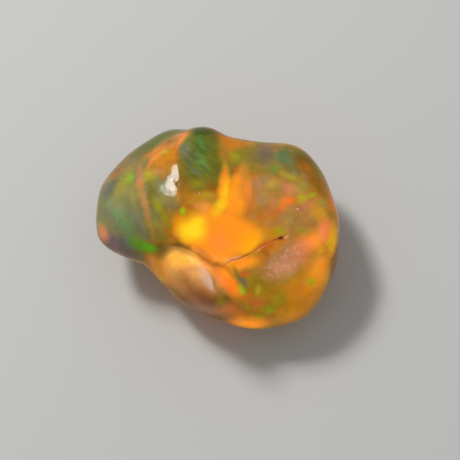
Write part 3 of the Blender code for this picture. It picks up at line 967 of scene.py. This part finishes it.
def wander(point, scale, amount, detail=1.0):
    """Push a point about by noise: features per mm, and how far in mm."""
    cloud = add("ShaderNodeTexNoise", {"Vector": point, "Scale": scale, "Detail": detail})
    sockets = {0: cloud.outputs["Color"], 1: (0.5, 0.5, 0.5)}
    centred = add("ShaderNodeVectorMath", sockets, operation="SUBTRACT")
    return add(
        "ShaderNodeVectorMath",
        {0: centred.outputs[0], 1: (amount,) * 3, 2: point},
        operation="MULTIPLY_ADD",
    ).outputs[0]


loose = wander(wander(plane, 0.8, 0.36), 3.0, 0.12, 2.0)

# %% [markdown]
# ## The body
#
# All round, also where nobody looks, the stone is amber with clouds of olive and brown, and with
# small flecks of other colours. Cells of a Voronoi texture give the flecks: each cell draws its
# own colour, and its cover fades from the middle to the rim.

# %% Helpers for flecks and streaks
FLECK_COLOURS = tuple(
    "fleck_" + hue for hue in ("gold", "lime", "ember", "rose", "teal", "olive")
)


def flecks(point, scale, share):
    """Soft cells with a colour each: the cover, for this share of the cells, and the colour."""
    cells = add("ShaderNodeTexVoronoi", {"Vector": point, "Scale": scale})
    drawn = add("ShaderNodeSeparateColor", {"Color": cells.outputs["Color"]}).outputs
    hues = add("ShaderNodeValToRGB", {"Fac": drawn["Red"]})
    hues.color_ramp.interpolation = "CONSTANT"
    for step, hue in enumerate(FLECK_COLOURS):
        stops = hues.color_ramp.elements
        stop = stops[step] if step < 2 else stops.new(1.0)
        stop.position = step / len(FLECK_COLOURS)
        stop.color = colour(hue)
    near_middle = ramp(cells.outputs["Distance"], 0.0, 0.62, 1.0, 0.0)
    chosen = ramp(drawn["Green"], 1.0 - share, 1.06 - share)
    return maths("MULTIPLY", near_middle, chosen), hues.outputs["Color"]


def streaks(point, heading, length, width, low, high, detail=2.0):
    """Noise drawn out along a heading, in mm."""
    drawn = add(
        "ShaderNodeMapping",
        {
            "Vector": point,
            "Rotation": (0.0, 0.0, radians(heading)),
            "Scale": (length, width, width),
        },
        vector_type="TEXTURE",
    ).outputs[0]
    grain = add("ShaderNodeTexNoise", {"Vector": drawn, "Scale": 1.0, "Detail": detail})
    return ramp(grain.outputs["Fac"], low, high)


# %% Body colour, and its flecks: cells per mm, share of the cells, strength
BODY_FLECKS = ((0.5, 0.45, 0.6), (1.1, 0.5, 0.7))
cloud = add("ShaderNodeTexNoise", {"Vector": loose, "Scale": 0.42, "Detail": 2.0}).outputs["Fac"]
haze = add("ShaderNodeTexNoise", {"Vector": loose, "Scale": 0.7, "Detail": 2.0}).outputs["Fac"]
chain = blend(ramp(cloud, 0.42, 0.62), colour("body_amber"), colour("body_olive"))
chain = blend(ramp(haze, 0.50, 0.80), chain, colour("body_brown"))
for size, share, strength in BODY_FLECKS:
    fleck_cover, fleck_hue = flecks(loose, size, share)
    chain = blend(maths("MULTIPLY", fleck_cover, strength), chain, fleck_hue)
body = chain

# %% [markdown]
# ## Laying the patches
#
# Each patch goes over the ones before it. Its centre is dropped on the skin, and it is deep
# enough to reach the skin wherever the lobes curve away. Low on the sides the patches would
# stretch into stripes, so there the body takes over again, with a ragged upper limit that
# follows its own clouds.

# %% Lay the patches
PATCH_DEPTH = 1.4
covers = {}
for name, u, v, length, width, turn, hue, strength, edge in PATCHES:
    patch = tree.nodes.new("ShaderNodeGroup")
    patch.node_tree = egg
    patch.name = name
    tree.links.new(loose, patch.inputs["Point"])
    tree.links.new(chain, patch.inputs["Under"])
    patch.inputs["Colour"].default_value = colour(hue)
    patch.inputs["Centre"].default_value = (u, v, depth_at(u, v))
    patch.inputs["Turn"].default_value = (0.0, 0.0, radians(turn))
    patch.inputs["Size"].default_value = (length, width, max(PATCH_DEPTH, length + width))
    patch.inputs["Softness"].default_value = 1.0 - edge
    patch.inputs["Strength"].default_value = strength
    chain = patch.outputs["Colour"]
    covers[name] = patch.outputs["Cover"]
print("patches laid:", len(PATCHES))

# %% Let the body show again low down: heights in mm
ALL_BODY_BELOW = 2.3
NO_BODY_ABOVE = 3.3
RAGGED = 1.6
level = add("ShaderNodeSeparateXYZ", {"Vector": in_stone}).outputs["Z"]
sockets = {0: haze, 1: RAGGED * MM, 2: level}
ragged = add("ShaderNodeMath", sockets, operation="MULTIPLY_ADD").outputs[0]
chain = blend(ramp(ragged, ALL_BODY_BELOW * MM, NO_BODY_ABOVE * MM, 1.0, 0.0), chain, body)

# %% [markdown]
# ## Fibres, flecks and frost
#
# Seen close, the green parts of the stone are made of fibres, and its right face of small soft
# flecks. One patch of the right face has lost its polish and is frosted with pale specks, which
# are partly painted glints.

# %% Fibres: point, heading, length and width in mm, low, high, where, strength, colour
FIBRES = (
    (loose, -40, 1.4, 0.15, 0.48, 0.72, "dome", 0.22, "fibre_light"),
    (plane, -34, 1.8, 0.22, 0.50, 0.72, "dome", 0.30, "fibre_dark"),
    (loose, -68, 2.2, 0.20, 0.48, 0.74, "wing", 0.20, "fibre_light"),
    (plane, -62, 2.4, 0.26, 0.50, 0.74, "wing", 0.24, "dusty"),
)
for point, heading, length, width, low, high, where, strength, hue in FIBRES:
    fibre = streaks(point, heading, length, width, low, high)
    fibre = maths("MULTIPLY", fibre, maths("MULTIPLY", covers[where], strength))
    chain = blend(fibre, chain, colour(hue))

# %% Flecks on the right face: cells per mm, share of the cells, strength
FACE_FLECKS = ((0.9, 0.6, 0.28), (2.0, 0.6, 0.22))
right_face = maths("MAXIMUM", covers["front"], covers["back_lobe"])
right_face = maths("MAXIMUM", covers["face"], right_face)
right_face = maths("SUBTRACT", right_face, covers["frosted"])
for size, share, strength in FACE_FLECKS:
    fleck_cover, fleck_hue = flecks(loose, size, share)
    fleck_cover = maths("MULTIPLY", fleck_cover, maths("MULTIPLY", right_face, strength))
    chain = blend(fleck_cover, chain, fleck_hue)

# %% Light and dark clouds over all
MOTTLE = 0.45
sockets = {"Vector": plane, "Scale": 1.7, "Detail": 4.0, "Roughness": 0.6}
mottle = add("ShaderNodeTexNoise", sockets).outputs["Fac"]
tones = {key: ramp(mottle, 0.25, 0.75, 0.36, 0.64) for key in ("Red", "Green", "Blue")}
tone = add("ShaderNodeCombineColor", tones)
calm = maths("SUBTRACT", 1.0, covers["hollow"])
chain = blend(maths("MULTIPLY", calm, MOTTLE), chain, tone.outputs["Color"], mode="OVERLAY")

# %% Frosted specks, partly painted glints
FROST_STRENGTH = 0.6
grit = add("ShaderNodeTexNoise", {"Vector": plane, "Scale": 5.0, "Detail": 2.0}).outputs["Fac"]
# the frosted specks: pale frosting, partly painted glints
frost_and_glint = maths("MULTIPLY", ramp(grit, 0.48, 0.75), covers["frosted"])
chain = blend(maths("MULTIPLY", frost_and_glint, FROST_STRENGTH), chain, colour("frost_and_glint"))

# %% [markdown]
# ## Painted shade in the grooves, and pale chips
#
# The grooves are darkened with painted shade, and the crack has a few pale chips where its edge
# has splintered.
# The marks that the carving left on the skin say where both lie.

# %% Paint shade into the grooves, and pale chips on the crack
groove_here = add("ShaderNodeAttribute", attribute_name="groove").outputs["Fac"]
crack_here = add("ShaderNodeAttribute", attribute_name="crack").outputs["Fac"]
chips = add("ShaderNodeTexNoise", {"Vector": plane, "Scale": 3.0, "Detail": 2.0}).outputs["Fac"]
pale = maths("MULTIPLY", ramp(crack_here, 0.4, 0.7), ramp(chips, 0.48, 0.6, 0.0, 0.7))
chain = blend(pale, chain, colour("crack_pale"))
# painted shade: the grooves are darkened towards their middle
chain = blend(ramp(groove_here, 0.1, 1.0, 0.0, 0.7), chain, colour("crack"))

# %% [markdown]
# ## Polish
#
# The stone has a wet polish, but not everywhere. The lip is worn to a satin, and the frosted spot,
# the grooves and the banks of the crevice are dull. One roughness, raised where these masks lie,
# gives all of it, and a faint bump roughens the frosted specks.

# %% Polish
POLISH = 0.12
SATIN = 0.36
FROSTED = 0.60
bank_here = add("ShaderNodeAttribute", attribute_name="bank").outputs["Fac"]
satin = maths("MULTIPLY", covers["lip"], SATIN - POLISH)
dull = maths("MAXIMUM", ramp(bank_here, 0.0, 0.5), ramp(groove_here, 0.05, 0.4))
dull = maths("MULTIPLY", maths("MAXIMUM", covers["frosted"], dull), FROSTED - POLISH)
rough = maths("ADD", maths("MAXIMUM", satin, dull), POLISH)
relief = add("ShaderNodeBump", {"Height": frost_and_glint, "Strength": 0.4, "Distance": 0.01 * MM})

# %% [markdown]
# ## Glow and clearness
#
# Light that enters an opal spreads inside it and comes out again all over, so no part of it looks
# black. Scattering in a volume would do this, but slowly and with a lot of grain. A weak glow in
# the stone's own colours stands for it, stronger where the real stone is brightest. A small
# share of clear transmission, with an orange absorption behind it, lets the thin rims light up
# and tints the shadow.

# %% Glow
GLOW = 0.30
GLOW_MORE = 0.30
# painted glow, stronger over the hollow's heart, the tongue and the rims
glow_boost = maths("MAXIMUM", covers["bottom_rim"], covers["tongue"])
glow_boost = maths("MAXIMUM", covers["hollow_honey"], glow_boost)
glow_boost = maths("MAXIMUM", glow_boost, maths("MAXIMUM", covers["rim_orange"], covers["rim_low"]))
glow = maths("ADD", maths("MULTIPLY", glow_boost, GLOW_MORE), GLOW)

# %% Finish the shader
shader.inputs["IOR"].default_value = 1.42
shader.inputs["Specular IOR Level"].default_value = 0.2
shader.inputs["Transmission Weight"].default_value = 0.15
inner = add("ShaderNodeVolumeAbsorption", {"Color": (1.0, 0.45, 0.08, 1.0), "Density": 400.0})
tree.links.new(inner.outputs["Volume"], tree.nodes["Material Output"].inputs["Volume"])
tree.links.new(glow, shader.inputs["Emission Strength"])
tree.links.new(rough, shader.inputs["Roughness"])
tree.links.new(relief.outputs["Normal"], shader.inputs["Normal"])
tree.links.new(chain, shader.inputs["Base Color"])
tree.links.new(chain, shader.inputs["Emission Color"])
skin_mesh.materials.clear()
skin_mesh.materials.append(opal)
print("nodes in the material:", len(tree.nodes))

# %% [markdown]
# ## The setting
#
# A glossy stone shows whatever stands around it, so the setting is kept plain: a pale sheet of
# paper, a soft even room, and two soft lamps. The big one is the window that the wing and the lip
# reflect, and the small one gives that reflection its bright heart.

# %% Floor
FLOOR_HALF_SIDE = 0.4
table = bmesh.new()
bmesh.ops.create_grid(table, x_segments=1, y_segments=1, size=FLOOR_HALF_SIDE)
table_mesh = bpy.data.meshes.new("table")
table.to_mesh(table_mesh)
table.free()
table_top = bpy.data.objects.new("table", table_mesh)
bpy.context.scene.collection.objects.link(table_top)
paper = bpy.data.materials.new("paper")
paper.use_nodes = True
paper_shader = paper.node_tree.nodes["Principled BSDF"]
paper_shader.inputs["Base Color"].default_value = (0.58, 0.575, 0.56, 1.0)
paper_shader.inputs["Roughness"].default_value = 0.9
table_mesh.materials.append(paper)

# %% The room
world = bpy.data.worlds.new("soft_room")
world.use_nodes = True
room = world.node_tree.nodes["Background"]
room.inputs["Color"].default_value = (0.96, 0.98, 1.0, 1.0)
room.inputs["Strength"].default_value = 0.38
bpy.context.scene.world = world
bpy.context.scene.view_settings.view_transform = "Standard"


# %% The two lamps
def softbox(name, towards, away, size, brightness, tall):
    """A lamp this far away in mm, of this size in mm, whose face has this brightness."""
    lamp = bpy.data.lights.new(name, "AREA")
    lamp.shape = "RECTANGLE"
    lamp.size, lamp.size_y = (side * MM for side in size)
    lamp.energy = brightness * pi * lamp.size * lamp.size_y
    holder = bpy.data.objects.new(name, lamp)
    direction = Vector(towards).normalized()
    holder.location = (aim + direction * away) * MM
    holder.rotation_mode = "QUATERNION"
    sideways = Vector(tall).cross(direction).normalized()
    turned = Matrix((sideways, direction.cross(sideways), direction)).transposed()
    holder.rotation_quaternion = turned.to_quaternion()
    bpy.context.scene.collection.objects.link(holder)


LAMP_TALL = (0.0, -0.88, 0.47)
softbox("window", (-0.45, 0.42, 0.787), 200, (42, 60), 27.0, LAMP_TALL)
softbox("lamp", (-0.46, 0.37, 0.807), 195, (22, 22), 40.0, LAMP_TALL)
